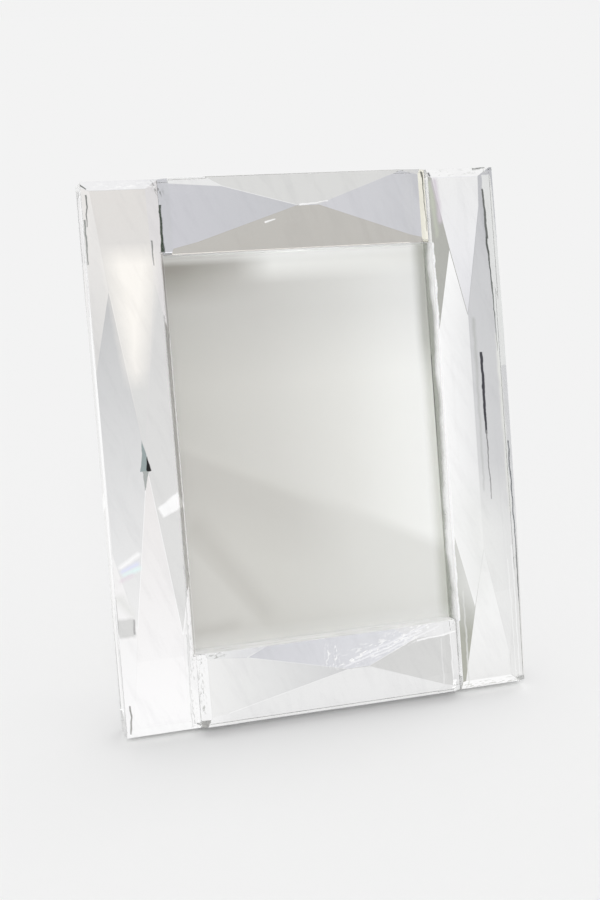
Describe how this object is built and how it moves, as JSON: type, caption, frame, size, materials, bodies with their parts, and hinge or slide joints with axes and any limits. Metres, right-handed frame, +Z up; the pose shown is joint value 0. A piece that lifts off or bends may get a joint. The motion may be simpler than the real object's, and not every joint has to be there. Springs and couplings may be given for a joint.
{
  "type": "picture frame",
  "caption": "Table-top photo frame of faceted crystal glass bars, leaning back on a folding easel leg, with a pane, a photo card and a push-fit back board.",
  "frame": {"origin": "on the table, under the middle of the bounding box of the frame and its open leg", "axes": "+Z up; -Y is where the picture faces; +X to the right of someone who looks at the picture"},
  "size_m": [0.1898, 0.107, 0.2369],
  "materials": {
    "crystal": "polished clear optical crystal",
    "pane": "clear flat sheet glass",
    "card": "satin silver-grey card, bare",
    "velvet": "pearl grey velvet over fibreboard",
    "metal": "nickel-plated steel"
  },
  "bodies": {
    "crystal_frame": {"bottom_rail": "crystal", "glass_pane": "pane", "left_stile": "crystal", "photo_card": "card", "right_stile": "crystal", "top_rail": "crystal"},
    "back_panel": {"back_board": "velvet", "hinge_plate": "metal", "hinge_pin": "metal", "plate_rivet_left": "metal", "plate_rivet_right": "metal"},
    "easel_leg": {"easel_leg": "velvet", "hinge_leaf": "metal", "leg_rivet_left": "metal", "leg_rivet_right": "metal"}
  },
  "joints": [
    {"name": "back_pull", "type": "slide", "parent": "crystal_frame", "child": "back_panel", "axis": [0, 0.9622, -0.2723], "range_m": [0, 0.012]},
    {"name": "leg_fold", "type": "hinge", "parent": "back_panel", "child": "easel_leg", "pos_m": [0, 0.01152, 0.15803], "axis": [-1, 0, 0], "range_deg": [0, 30]}
  ]
}
